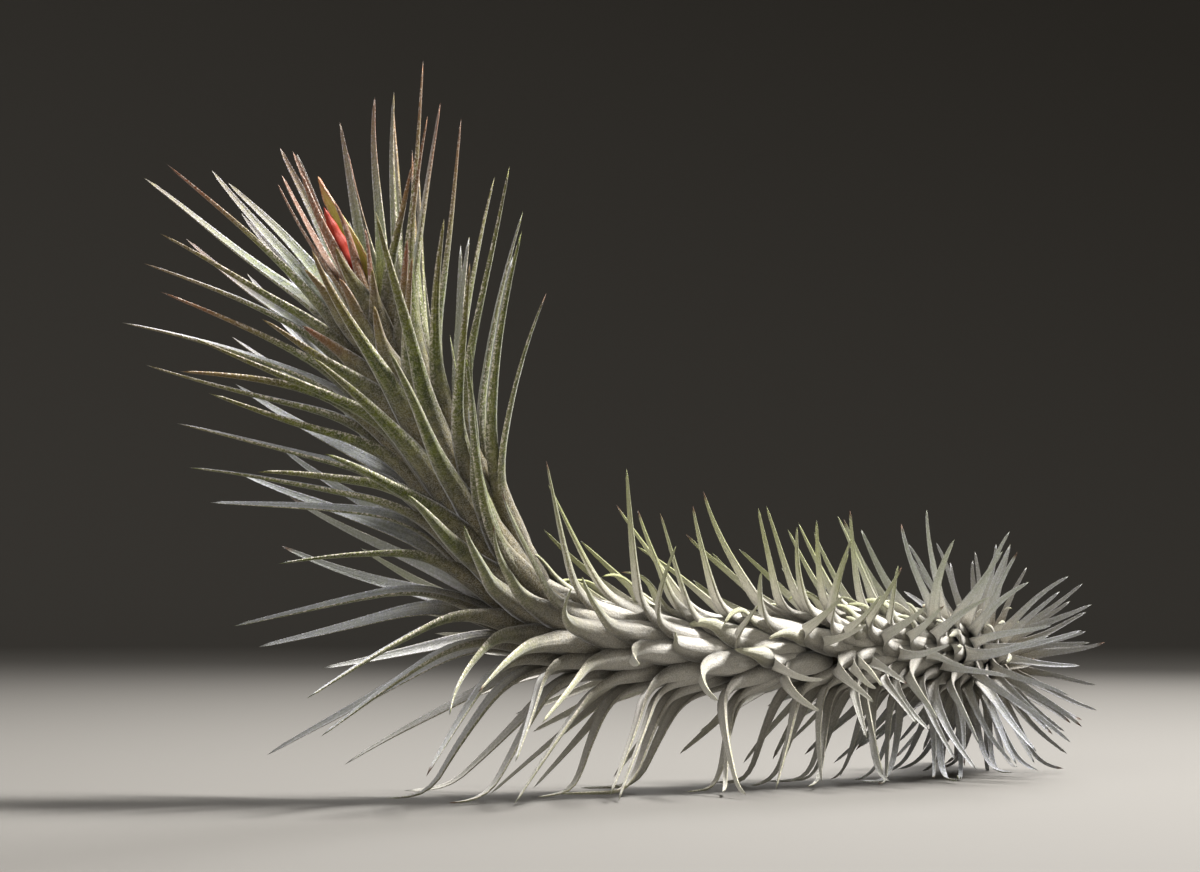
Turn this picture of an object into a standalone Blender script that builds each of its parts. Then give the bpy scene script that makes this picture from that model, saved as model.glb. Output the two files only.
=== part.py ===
"""A stem-forming air plant (a silver-leaved tillandsia) in bud, lying on a flat surface with its head raised.

The plant is one leafy stem: a thin curved stem whose whole length is wrapped in overlapping leaf sheaths, each
running out into a narrow channelled blade. The newest, rose-flushed leaves stand round the growing tip and hold
the flower: a pointed red bud with a boat-shaped yellow-green bract beside it. The old end is a dry brown stub.

Units are metres, +Z is up and the surface is z = 0. The stem lies along X with its head towards -X, and the
origin is on the surface, under the middle of the leaf tips' spread.
"""

import math
import random

import bmesh
import bpy
from mathutils import Matrix, Vector

MM = 0.001

# ---- the stem ----------------------------------------------------------------------------------------------
# Centre of the stem in millimetres from the dry old end to the growing tip: it lies, then turns up at the head.
STEM_ROUTE = (
    (86.82, 6.90, 19.0),
    (71.42, -5.90, 19.5),
    (51.82, -14.40, 20.7),
    (27.12, -13.30, 22.0),
    (-3.98, -8.50, 22.0),
    (-29.98, -3.10, 26.0),
    (-39.88, -0.10, 36.0),
    (-45.08, 2.40, 45.0),
    (-50.38, 5.00, 54.0),
    (-54.28, 6.80, 62.0),
    (-57.08, 8.30, 69.0),
)
SPLINE_STEPS = 24  # straight steps between two points of the route
STEM_FACES = 8
STEM_STATIONS = 26
STEM_RADIUS_MM = ((0.0, 3.4), (0.1, 5.2), (0.8, 5.2), (0.95, 3.6), (1.0, 2.6))  # share of length, mm

# ---- how the leaves grow -----------------------------------------------------------------------------------
# Each rule runs along the stem: (share of its length from the old end, value), blended smoothly between stops.
GOLDEN_ANGLE = math.radians(137.508)
FIRST_TURN = 0.4
SEED = 7
OLDEST_LEAF_MM = 2.0
BARE_TIP_MM = 3.4  # stem past the last leaf, under the heart leaves
INTERNODE_MM = ((0, 1.24), (0.45, 1.18), (0.6, 0.76), (0.68, 0.62), (0.85, 0.68), (1, 0.55))
LENGTH_MM = ((0, 23), (0.3, 29), (0.5, 36), (0.62, 46), (0.72, 50.5), (0.92, 50), (1, 40))
SPREAD_DEG = ((0, 72), (0.3, 64), (0.5, 56), (0.62, 49), (0.72, 46), (0.83, 40), (0.93, 31), (1, 23))
CLASP_DEG = ((0, 20), (0.3, 14), (0.8, 12), (1, 14))  # lean of the sheath off the stem
SHEATH_MM = ((0, 9), (0.3, 12.5), (0.5, 15), (0.8, 15), (0.95, 13), (1, 8))
SHEATH_WIDTH_MM = ((0, 4.2), (0.4, 4.6), (0.8, 5.2), (1, 4.2))
NECK_SHARE = ((0.1, 0.5), (0.4, 0.62), (0.6, 0.78))  # width of a sheath's neck, as a share of its width where it swells
BLADE_WIDTH_MM = ((0, 1.7), (0.5, 2.2), (0.75, 2.7), (1, 2.5))
BEND_START = ((0.45, 0.65), (0.8, 0.55))  # where a sheath starts to bend out, in sheath lengths from the root
BEND_SPAN = ((0.45, 0.65), (0.8, 1.3))  # how far along the leaf that bend runs, in sheath lengths
ROOT_DEPTH_MM = ((0, 2.6), (0.1, 3.3), (0.85, 3.3), (1, 2.6))  # distance of a leaf's root from the stem's centre

LEAF_STEPS = 24  # straight steps in a leaf's midline
TIP_WIDTH_MM = 0.35
TIP_THICK_MM = 0.6
THICK_SHARE = 0.5  # thickness as a share of the width
ROOT_SHARE = 0.6  # width of a sheath at its root, as a share of its width where it swells
SHOULDER_FALL = 1.7  # how soon the neck's shoulders narrow into the blade

LEAF_SIDES = 4
LEAF_STATIONS = (0.0, 0.13, 0.29, 0.58, 1.0)  # shares of a leaf's length where its outline turns
OLD_STATIONS = (0.0, 0.17, 0.36, 0.6, 1.0)  # the same, for the shorter leaves of the old part
LYING_STATIONS = (0.0, 0.2, 0.42, 0.9, 1.0)  # and for a leaf whose end lies along the surface
PRESSED_SHARE = 2.0  # such a leaf is pressed flat where it is this many thicknesses or less above its floor
REST_MM = 0.35  # height of such a leaf's middle above its floor
LANDING_MM = 5.5  # height over which it levels out
OPEN_SIDE = Vector((-0.68, -0.72, -0.12))  # the side on which the youngest leaves stand open and show the bud
OPEN_FROM = 0.84
CLEAR_MM = 0.3  # floor of every leaf but the three that carry the plant
PROPS_MM = ((-47, 21), (-20, -21), (68, -8))  # where those three touch the surface, round the plant's weight

# ---- the growing tip ---------------------------------------------------------------------------------------
SEAT_GAP_MM = 0.3  # between a piece and its neighbour
COLLAR_RADIUS_MM = 2.1
COLLAR_HEIGHT_MM = 3.0
HEART_ROOT_MM = 1.5  # distance of a heart leaf's root from the collar's centre
HEART_WIDTH_MM = 2.8
HEART_THICK_MM = 0.8
# (degrees round the tip, length in mm, lean at the root and in the blade in degrees); the bud shows between 110 and 200
HEART_LEAVES = (
    (158, 20, 8, 2),
    (236, 27, 8, 0),
    (286, 26, 10, 6),
    (318, 27, 10, 5),
    (2, 30, 10, 9),
    (130, 15, 12, 12),
)
BUD_LENGTH_MM = 17.5
BUD_RADIUS_MM = ((0, 0.9), (0.45, 1.9), (0.8, 1.2), (1, 0.3))
BUD_SIDES = 8
BUD_STATIONS = 8
BRACT_TURN_DEG = 62
BRACT_LENGTH_MM = 22.0
BRACT_WIDTH_MM = ((0, 1.4), (0.35, 3.5), (0.8, 2.0), (1, 0.6))
BRACT_THICK_MM = 0.7
BRACT_OFF_AXIS_MM = ((0, 2.5), (0.35, 3.4), (1, 1.4))  # from the bud's axis
BRACT_STATIONS = 9

# ---- the dry old end ---------------------------------------------------------------------------------------
STUB_LENGTH_MM = 6.5
STUB_RADIUS_MM = 2.5
STUB_STATIONS = 5
WITHERED_LEAVES = 7
WITHERED_LENGTH_MM = 7.5
WITHERED_WIDTH_MM = 2.6

SOLVER = "EXACT"


def smooth(x):
    """0 below 0, 1 above 1, and an S-curve between."""
    x = min(max(x, 0.0), 1.0)
    return x * x * (3.0 - 2.0 * x)


def along(stops, x):
    """The value of a rule at x, blended smoothly between its stops."""
    for (x0, y0), (x1, y1) in zip(stops, stops[1:]):
        if x <= x1:
            return y0 + (y1 - y0) * smooth((x - x0) / (x1 - x0))
    return stops[-1][1]


class Stem:
    """The stem's centre line, as a smooth curve measured in millimetres from its old end."""

    def __init__(self, route):
        knots = [Vector(point) for point in route]
        knots = [2 * knots[0] - knots[1], *knots, 2 * knots[-1] - knots[-2]]
        self.points = []
        for a, b, c, d in zip(knots, knots[1:], knots[2:], knots[3:]):
            for step in range(SPLINE_STEPS):
                t = step / SPLINE_STEPS
                bend = (2 * a - 5 * b + 4 * c - d) * t * t + (3 * b - a - 3 * c + d) * t**3
                self.points.append(0.5 * (2 * b + (c - a) * t + bend))
        self.points.append(knots[-2])
        self.reach = [0.0]
        for before, after in zip(self.points, self.points[1:]):
            self.reach.append(self.reach[-1] + (after - before).length)
        self.length = self.reach[-1]

    def point(self, distance):
        distance = min(max(distance, 0.0), self.length)
        last = len(self.reach) - 2
        low = next((i for i in range(last + 1) if self.reach[i + 1] >= distance), last)
        share = (distance - self.reach[low]) / (self.reach[low + 1] - self.reach[low])
        return self.points[low].lerp(self.points[low + 1], share)

    def frame(self, distance):
        """(towards the growing tip, level across the stem, square to both and upwards)."""
        grow = (self.point(distance + 2.0) - self.point(distance - 2.0)).normalized()
        across = grow.cross(Vector((0, 0, 1))).normalized()
        return grow, across, across.cross(grow)


def leaf_midline(root, grow, out, habit):
    """Points and directions of a leaf's midline: it clasps the stem, then bends out into its blade."""
    across = grow.cross(out)
    point = root.copy()
    step = habit["length"] / LEAF_STEPS
    points, directions = [point.copy()], []
    for number in range(LEAF_STEPS):
        u = (number + 0.5) / LEAF_STEPS
        opened = smooth((u / habit["sheath"] - habit["bend"][0]) / habit["bend"][1])
        angle = habit["clasp"] + (habit["spread"] - habit["clasp"]) * opened
        angle += habit["recurve"] * max(0.0, u - 0.35) / 0.65 + habit["hook"] * smooth((u - 0.62) / 0.38)
        aim = math.cos(angle) * grow + math.sin(angle) * out + habit["sway"] * u * across
        aim.z += habit["lift"] * max(0.0, u - habit["sheath"])
        aim.normalize()
        if habit["lies"]:
            aim.z = max(aim.z, (habit["floor"] + REST_MM - point.z) / LANDING_MM)
            aim.normalize()
        point = point + aim * step
        points.append(point.copy())
        directions.append(aim)
    directions.append(directions[-1])
    return points, directions, across


def settled_midline(root, grow, out, habit):
    """The midline with its spread closed just enough that no point is under the leaf's floor."""
    line = leaf_midline(root, grow, out, habit)
    if habit["lies"] or min(point.z for point in line[0]) >= habit["floor"]:
        return line
    closed, opened = habit["spread"] - math.radians(60), habit["spread"]
    for _ in range(14):
        habit["spread"] = (closed + opened) / 2
        line = leaf_midline(root, grow, out, habit)
        if min(point.z for point in line[0]) >= habit["floor"]:
            closed = habit["spread"]
        else:
            opened = habit["spread"]
    habit["spread"] = closed
    return leaf_midline(root, grow, out, habit)


def leaf_habit(share, out, draw):
    """How a leaf grows, from its place along the stem and which way it faces. draw holds seven numbers, -1 to 1."""
    upward = out.z
    old = 1.0 - smooth((share - 0.55) / 0.2)
    open_wide = smooth((share - OPEN_FROM) / 0.08) * smooth((out.dot(OPEN_SIDE) - 0.35) / 0.45)
    length = along(LENGTH_MM, share) * (1 + 0.10 * draw[0]) * (1 - 0.5 * open_wide)
    hooked = old > 0.3 and draw[5] > 0.3 and upward > -0.3
    if hooked:
        length *= 0.62
    lies = old > 0.3 and upward < -0.93
    if lies:
        length *= 1.08
    lift = -0.02
    if upward > -0.35:
        lift = 0.30 - 0.25 * old
    elif share > 0.72:
        lift = 0.10
    return {
        "length": length,
        "sheath": along(SHEATH_MM, share) / length,
        "sheath_width": along(SHEATH_WIDTH_MM, share),
        "neck": along(NECK_SHARE, share),
        "blade_width": along(BLADE_WIDTH_MM, share),
        "bend": (along(BEND_START, share), along(BEND_SPAN, share)),
        "clasp": math.radians(along(CLASP_DEG, share)),
        "spread": math.radians(along(SPREAD_DEG, share) + 6 * draw[1] - 5 * max(0.0, upward) + 9 * lies + 14 * open_wide),
        "recurve": math.radians(8 + 9 * draw[2]),
        "hook": -math.radians(60 + 60 * abs(draw[6])) if hooked else 0.0,
        "sway": math.radians((8 + 16 * old) * draw[3]),
        "lift": lift,
        "twist": math.radians(22 * draw[4]),
        "lies": lies,
        "floor": CLEAR_MM,
        "thick": THICK_SHARE,
        "old": old,
    }


def carry_plant(leaves, roots):
    """Lets the low leaves whose tips end nearest to the three props down to lie on the surface itself."""
    low = [number for number, leaf in enumerate(leaves) if leaf[0][-1].z < 3 * CLEAR_MM]
    for x, y in PROPS_MM:
        number = min(low, key=lambda number: (leaves[number][0][-1].xy - Vector((x, y))).length)
        habit = leaves[number][3]
        habit["floor"] = 0.0
        habit["lies"] = True
        habit["spread"] += math.radians(12)
        leaves[number] = (*settled_midline(*roots[number], habit), habit)


def grow_leaves(stem):
    """Every leaf of the stem as (midline points, directions, across, habit), oldest first."""
    rng = random.Random(SEED)
    leaves, roots = [], []
    distance = OLDEST_LEAF_MM
    while distance < stem.length - BARE_TIP_MM:
        share = distance / stem.length
        turn = FIRST_TURN + len(leaves) * GOLDEN_ANGLE
        draw = [rng.uniform(-1, 1) for _ in range(7)]
        grow, across, up = stem.frame(distance)
        out = math.cos(turn) * across + math.sin(turn) * up
        habit = leaf_habit(share, out, draw)
        root = stem.point(distance) + out * along(ROOT_DEPTH_MM, share)
        roots.append((root, grow, out))
        leaves.append((*settled_midline(root, grow, out, habit), habit))
        distance += along(INTERNODE_MM, share)
    carry_plant(leaves, roots)
    return leaves


def unit_tube(sides, stations, pointed):
    """A closed tube round Z with one ring of `sides` vertices at each whole height, its last ring a point if asked."""
    bm = bmesh.new()
    bmesh.ops.create_circle(bm, cap_ends=True, segments=sides, radius=1.0)
    rim = list(bm.edges)
    for _ in range(stations - 1):
        made = bmesh.ops.extrude_edge_only(bm, edges=rim)["geom"]
        bmesh.ops.translate(bm, verts=[part for part in made if isinstance(part, bmesh.types.BMVert)], vec=(0, 0, 1))
        rim = [part for part in made if isinstance(part, bmesh.types.BMEdge)]
    if pointed:
        top = list({vert for edge in rim for vert in edge.verts})
        bmesh.ops.pointmerge(bm, verts=top, merge_co=(0, 0, stations - 1))
    else:
        bmesh.ops.contextual_create(bm, geom=rim)
    bmesh.ops.recalc_face_normals(bm, faces=bm.faces)
    return bm


def leaf_section(u, habit):
    """(width, thickness, how far the edges curl up) of a leaf at a share u of its length, in millimetres."""
    sheath, sheath_width, blade_width = habit["sheath"], habit["sheath_width"], habit["blade_width"]
    if u < sheath:
        swell = math.sin(math.pi * (u / sheath) ** 0.75)
        end_share = ROOT_SHARE + (habit["neck"] - ROOT_SHARE) * u / sheath
        width = sheath_width * (end_share + (1 - end_share) * swell)
        return width, habit["thick"] * width, 0.22 * width
    v = (u - sheath) / (1 - sheath)
    shoulder = max(0.0, 1 - SHOULDER_FALL * v) ** 1.5
    width = TIP_WIDTH_MM + (blade_width - TIP_WIDTH_MM) * (1 - v) ** 0.85
    width += (habit["neck"] * sheath_width - blade_width) * shoulder
    return width, max(TIP_THICK_MM, habit["thick"] * width), 0.20 * width


def at_share(items, u):
    """The vector at a share u of the way through a list of vectors."""
    place = min(max(u, 0.0), 1.0) * (len(items) - 1)
    low = min(int(place), len(items) - 2)
    return items[low].lerp(items[low + 1], place - low)


def leaf_mesh(leaf):
    """A closed leaf: crescent sections that follow its midline and end in a point, kept on or above the surface.

    A leaf that lies along the surface is pressed flat underneath there.
    """
    points, directions, across, habit = leaf
    stations = LYING_STATIONS if habit["lies"] else OLD_STATIONS if habit["old"] > 0.5 else LEAF_STATIONS
    bm = unit_tube(LEAF_SIDES, len(stations), pointed=True)
    for vert in bm.verts:
        u = stations[round(vert.co.z)]
        width, thick, curl = leaf_section(u, habit)
        aim = at_share(directions, u).normalized()
        side = (across - across.project(aim)).normalized()
        inner = aim.cross(side)
        turn = habit["twist"] * u
        side, inner = (
            math.cos(turn) * side + math.sin(turn) * inner,
            math.cos(turn) * inner - math.sin(turn) * side,
        )
        x, y = vert.co.x, vert.co.y
        middle = at_share(points, u)
        place = middle + side * (x * width / 2) + inner * (curl * x * x + y * thick / 2)
        if habit["lies"] and middle.z - habit["floor"] < PRESSED_SHARE * thick:
            place.z = habit["floor"] + thick * max(0.0, y if inner.z > 0 else -y)
        place.z = max(place.z, habit["floor"])
        vert.co = place * MM
    return bm


def stem_mesh(stem):
    """The stem as one tube of changing radius along its route."""
    bm = unit_tube(STEM_FACES, STEM_STATIONS, pointed=False)
    for vert in bm.verts:
        share = vert.co.z / (STEM_STATIONS - 1)
        _, across, up = stem.frame(share * stem.length)
        radius = along(STEM_RADIUS_MM, share)
        offset = (vert.co.x * up + vert.co.y * across) * radius
        vert.co = (stem.point(share * stem.length) + offset) * MM
    return bm


def new_object(name, bm, material, collection=None):
    mesh = bpy.data.meshes.new(name)
    bm.to_mesh(mesh)
    bm.free()
    mesh.materials.append(material)
    made = bpy.data.objects.new(name, mesh)
    (collection or bpy.context.scene.collection).objects.link(made)
    return made


def keep_outer_skin(mesh):
    """Leaves only the largest of a mesh's separate shells, which fills hollows that the union has sealed.

    In triangles, so that a sliver folded flat between two faces is a shell of its own and goes too.
    """
    bm = bmesh.new()
    bm.from_mesh(mesh)
    bmesh.ops.triangulate(bm, faces=bm.faces)
    unseen, shells = set(bm.faces), []
    while unseen:
        shell, reached = set(), [unseen.pop()]
        while reached:
            face = reached.pop()
            shell.add(face)
            near = {other for edge in face.edges if len(edge.link_faces) == 2 for other in edge.link_faces} & unseen
            unseen -= near
            reached.extend(near)
        shells.append(shell)
    outer = max(shells, key=len)
    bmesh.ops.delete(bm, geom=[face for face in bm.faces if face not in outer], context="FACES")
    bm.to_mesh(mesh)
    bm.free()


def fuse(base, bodies):
    """Joins the collection's bodies to the base by one Boolean union, and removes them."""
    union = base.modifiers.new("grown together", "BOOLEAN")
    union.operation = "UNION"
    union.operand_type = "COLLECTION"
    union.collection = bodies
    union.solver = SOLVER
    bpy.context.view_layer.objects.active = base
    bpy.ops.object.modifier_apply(modifier=union.name)
    for body in list(bodies.objects):
        bpy.data.objects.remove(body)
    bpy.data.collections.remove(bodies)
    keep_outer_skin(base.data)
    base.data.shade_smooth()
    base.data.set_sharp_from_angle(angle=math.radians(40))


def gathered(name):
    """A new collection in the scene for bodies that are about to be fused."""
    made = bpy.data.collections.new(name)
    bpy.context.scene.collection.children.link(made)
    return made


def plant_material(name, colour, roughness):
    material = bpy.data.materials.new(name)
    material.use_nodes = True
    shader = material.node_tree.nodes["Principled BSDF"]
    shader.inputs["Base Color"].default_value = (*colour, 1)
    shader.inputs["Roughness"].default_value = roughness
    shader.inputs["Metallic"].default_value = 0.0
    return material


def fused(name, body, leaves, material):
    """One object of a body and the leaves that grow from it."""
    bodies = gathered("growing")
    for number, leaf in enumerate(leaves):
        new_object(f"leaf_{number}", leaf_mesh(leaf), material, bodies)
    fuse(new_object(name, body, material), bodies)


def rod_mesh(start, aim, axes, length, radii, sides, stations, pointed=False):
    """A rod from a start point along aim, its radius following a rule along its length."""
    bm = unit_tube(sides, stations, pointed)
    for vert in bm.verts:
        share = vert.co.z / (stations - 1)
        offset = (vert.co.x * axes[1] + vert.co.y * axes[0]) * along(radii, share)
        vert.co = (start + aim * (share * length) + offset) * MM
    return bm


def plain_habit(length, width, thick, clasp, spread):
    """A leaf without the stem leaves' variations. Angles are in degrees."""
    return {
        "length": length,
        "sheath": 0.3,
        "sheath_width": width,
        "neck": 0.78,
        "blade_width": 0.75 * width,
        "bend": (0.55, 1.3),
        "clasp": math.radians(clasp),
        "spread": math.radians(spread),
        "recurve": 0.0,
        "hook": 0.0,
        "sway": 0.0,
        "lift": 0.0,
        "twist": 0.0,
        "lies": False,
        "floor": 0.0,
        "thick": thick / width,
        "old": 0.0,
    }


def turned(axes, degrees):
    """The direction at an angle round a stem, from the two directions square to it."""
    angle = math.radians(degrees)
    return math.cos(angle) * axes[0] + math.sin(angle) * axes[1]


def build_heart_leaves(tip, aim, axes, material):
    start = tip + aim * SEAT_GAP_MM
    collar = rod_mesh(start, aim, axes, COLLAR_HEIGHT_MM, ((0, COLLAR_RADIUS_MM), (1, COLLAR_RADIUS_MM)), 10, 2)
    leaves = []
    for degrees, length, clasp, spread in HEART_LEAVES:
        out = turned(axes, degrees)
        habit = plain_habit(length, HEART_WIDTH_MM, HEART_THICK_MM, clasp, spread)
        root = start + aim * 0.8 + out * HEART_ROOT_MM
        leaves.append((*leaf_midline(root, aim, out, habit), habit))
    fused("heart_leaves", collar, leaves, material)


def build_flower_bud(base, aim, axes, material):
    bud = rod_mesh(base, aim, axes, BUD_LENGTH_MM, BUD_RADIUS_MM, BUD_SIDES, BUD_STATIONS, pointed=True)
    made = new_object("flower_bud", bud, material)
    made.data.shade_smooth()


def build_floral_bract(base, aim, axes, material):
    """A boat-shaped bract that stands beside the bud with its hollow side to it."""
    out = turned(axes, BRACT_TURN_DEG)
    side = out.cross(aim)
    bm = unit_tube(6, BRACT_STATIONS, pointed=True)
    for vert in bm.verts:
        share = vert.co.z / (BRACT_STATIONS - 1)
        x, y = vert.co.x, vert.co.y
        width = along(BRACT_WIDTH_MM, share)
        off_axis = along(BRACT_OFF_AXIS_MM, share) - 0.28 * width * x * x + y * BRACT_THICK_MM / 2
        vert.co = (base + aim * (share * BRACT_LENGTH_MM) + side * (x * width / 2) + out * off_axis) * MM
    made = new_object("floral_bract", bm, material)
    made.data.shade_smooth()


def build_dry_end(stem, material):
    """The brown stub of the old stem and the withered leaves on it."""
    grow, *axes = stem.frame(0.0)
    start = stem.point(0.0) - grow * (SEAT_GAP_MM + STUB_LENGTH_MM)
    stub = rod_mesh(
        start, grow, axes, STUB_LENGTH_MM, ((0, 0.7 * STUB_RADIUS_MM), (0.5, STUB_RADIUS_MM), (1, STUB_RADIUS_MM)),
        STEM_FACES, STUB_STATIONS,
    )
    leaves = []
    for number in range(WITHERED_LEAVES):
        out = turned(axes, math.degrees(number * GOLDEN_ANGLE))
        spread = 62 + 12 * math.sin(2.3 * number)
        habit = plain_habit(WITHERED_LENGTH_MM + math.sin(5.1 * number), WITHERED_WIDTH_MM, 0.9, 24, spread)
        root = start + grow * (0.5 + 0.25 * number) + out * (0.5 * STUB_RADIUS_MM)
        leaves.append((*leaf_midline(root, grow, out, habit), habit))
    fused("dry_stem_end", stub, leaves, material)


def centre_on_origin(objects):
    """Moves the meshes so that the origin is on the surface under the middle of their box."""
    points = [vert.co for made in objects for vert in made.data.vertices]
    middle = [(min(point[axis] for point in points) + max(point[axis] for point in points)) / 2 for axis in (0, 1)]
    for made in objects:
        made.data.transform(Matrix.Translation((-middle[0], -middle[1], 0)))


def main():
    for stale in list(bpy.data.objects):
        bpy.data.objects.remove(stale)
    stem = Stem(STEM_ROUTE)
    silver = plant_material("silver_leaf", (0.52, 0.55, 0.47), 0.75)
    rosy = plant_material("rosy_leaf", (0.56, 0.42, 0.37), 0.7)
    red = plant_material("red_bud", (0.78, 0.16, 0.09), 0.5)
    yellow_green = plant_material("yellow_green_bract", (0.66, 0.68, 0.25), 0.55)
    brown = plant_material("dry_stem", (0.33, 0.24, 0.16), 0.85)
    fused("leafy_stem", stem_mesh(stem), grow_leaves(stem), silver)
    aim, *axes = stem.frame(stem.length)
    tip = stem.point(stem.length)
    base = tip + aim * (2 * SEAT_GAP_MM + COLLAR_HEIGHT_MM)
    build_heart_leaves(tip, aim, axes, rosy)
    build_flower_bud(base, aim, axes, red)
    build_floral_bract(base, aim, axes, yellow_green)
    build_dry_end(stem, brown)
    centre_on_origin(list(bpy.data.objects))


main()
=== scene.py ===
"""The looks of a stem-forming air plant in bud: frosted leaves, bud, bract and dry end, in a plain studio.

The leaves follow the same rules of growth as the solids: they stand in a spiral along one curved stem, each a
swollen sheath that runs out into a narrow channelled blade. Slimmer leaves, in spirals of their own, crowd
between them on the old part. Lengths are in millimetres until a point is placed.
"""

import math
import random

import bmesh
import bpy
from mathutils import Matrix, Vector


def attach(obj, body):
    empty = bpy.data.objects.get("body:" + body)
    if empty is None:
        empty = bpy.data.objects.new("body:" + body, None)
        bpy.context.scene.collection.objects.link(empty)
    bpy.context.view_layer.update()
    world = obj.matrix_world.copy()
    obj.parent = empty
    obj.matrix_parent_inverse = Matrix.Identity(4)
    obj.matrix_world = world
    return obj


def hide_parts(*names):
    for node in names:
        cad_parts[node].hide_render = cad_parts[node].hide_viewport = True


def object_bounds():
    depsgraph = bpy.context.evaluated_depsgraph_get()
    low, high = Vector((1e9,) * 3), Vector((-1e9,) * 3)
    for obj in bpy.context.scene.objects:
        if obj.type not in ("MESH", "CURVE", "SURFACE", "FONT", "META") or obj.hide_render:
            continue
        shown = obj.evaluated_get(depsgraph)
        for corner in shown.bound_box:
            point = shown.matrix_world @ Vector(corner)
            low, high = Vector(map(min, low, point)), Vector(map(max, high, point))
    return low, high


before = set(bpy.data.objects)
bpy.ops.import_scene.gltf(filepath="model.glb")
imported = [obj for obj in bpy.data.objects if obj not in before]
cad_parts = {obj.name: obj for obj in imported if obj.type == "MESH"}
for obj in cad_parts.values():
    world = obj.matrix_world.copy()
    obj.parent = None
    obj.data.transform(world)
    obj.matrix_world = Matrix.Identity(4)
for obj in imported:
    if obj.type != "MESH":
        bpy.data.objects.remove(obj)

MM = 0.001
CAD_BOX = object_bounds()

# ---- the stem ----------------------------------------------------------------------------------------------
# Centre of the stem, from the dry old end to the growing tip: it lies, then turns up at the head.
STEM_ROUTE = (
    (86.82, 6.90, 19.0),
    (71.42, -5.90, 19.5),
    (51.82, -14.40, 20.7),
    (27.12, -13.30, 22.0),
    (-3.98, -8.50, 22.0),
    (-29.98, -3.10, 26.0),
    (-39.88, -0.10, 36.0),
    (-45.08, 2.40, 45.0),
    (-50.38, 5.00, 54.0),
    (-54.28, 6.80, 62.0),
    (-57.08, 8.30, 69.0),
)
SPLINE_STEPS = 24  # straight steps between two points of the route
AIM_REACH_MM = 2.0  # how far to both sides the stem's direction is measured
CORE_SIDES = 24
CORE_RINGS = 70
CORE_RADIUS_MM = ((0, 3.0), (0.1, 3.3), (0.8, 3.3), (0.95, 2.6), (1, 2.0))  # share of the stem's length, mm

# ---- how the leaves grow -----------------------------------------------------------------------------------
# Each rule runs along the stem: (share of its length from the old end, value), blended between the stops.
GOLDEN_ANGLE = math.radians(137.508)
FIRST_TURN = 0.4
SEED = 7
OLDEST_LEAF_MM = 2.0
BARE_TIP_MM = 3.4  # stem past the last leaf, under the heart leaves
INTERNODE_MM = ((0, 1.24), (0.45, 1.18), (0.6, 0.76), (0.68, 0.62), (0.85, 0.68), (1, 0.55))
LENGTH_MM = ((0, 23), (0.3, 29), (0.5, 36), (0.62, 46), (0.72, 50.5), (0.92, 50), (1, 40))
SPREAD_DEG = ((0, 72), (0.3, 64), (0.5, 56), (0.62, 49), (0.72, 46), (0.83, 40), (0.93, 31), (1, 23))
CLASP_DEG = ((0, 20), (0.3, 14), (0.8, 12), (1, 14))  # lean of the sheath off the stem
SHEATH_MM = ((0, 9), (0.3, 12.5), (0.5, 15), (0.8, 15), (0.95, 13), (1, 8))
SHEATH_WIDTH_MM = ((0, 4.2), (0.4, 4.6), (0.8, 5.2), (1, 4.2))
NECK_SHARE = ((0.1, 0.5), (0.4, 0.58), (0.72, 0.62), (0.88, 0.78))  # of the width where the sheath swells
BLADE_WIDTH_MM = ((0, 1.7), (0.5, 2.2), (0.75, 2.7), (1, 2.5))
BEND_START = ((0.45, 0.65), (0.8, 0.55))  # where a leaf starts to bend out, in sheath lengths from the root
BEND_SPAN = ((0.45, 0.65), (0.8, 1.3))  # how far along the leaf that bend runs, in sheath lengths
ROOT_DEPTH_MM = ((0, 2.6), (0.1, 3.3), (0.85, 3.3), (1, 2.6))  # from the stem's centre to a leaf's root
BEND_FROM = 0.52  # shares of the stem where its bend and its head begin
HEAD_FROM = 0.76

# How a leaf departs from those rules. How far up it faces runs from -1, straight down, to 1, straight up.
# A rise is (where it starts, over how much it runs).
OLD_FADE = (0.55, 0.2)  # along the stem, as leaves stop being old
OLD_ENOUGH = 0.3  # how old a leaf is before it may hook or lie down
LENGTH_VARIES = 0.10
SPREAD_VARIES_DEG = 6
UPPER_SPREAD_LOSS_DEG = 5
RECURVE_DEG = 8
RECURVE_VARIES_DEG = 9
RECURVE_FROM = 0.35  # share of the leaf
SWAY_DEG = 8
OLD_SWAY_DEG = 16
TWIST_DEG = 22
HOOK_OVER = 0.3  # draws over this make a hooked leaf
HOOK_FACES_OVER = -0.3
HOOKED_LENGTH = 0.62
HOOK_DEG = 60
HOOK_VARIES_DEG = 60
HOOK_RISE = (0.62, 0.38)  # along the leaf
UPPER_FACES_OVER = -0.35
UPPER_LIFT = 0.30
OLD_LIFT_LOSS = 0.25
HEAD_LIFT_FROM = 0.72  # share of the stem
HEAD_LIFT = 0.10
LOWER_LIFT = -0.02
OPEN_SIDE = Vector((-0.68, -0.72, -0.12))  # the side on which the youngest leaves stand open and show the bud
OPEN_RISE = (0.84, 0.08)  # along the stem
OPEN_FACING_RISE = (0.35, 0.45)  # as a leaf faces that side
OPEN_LENGTH_LOSS = 0.5
OPEN_SPREAD_DEG = 14

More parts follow.
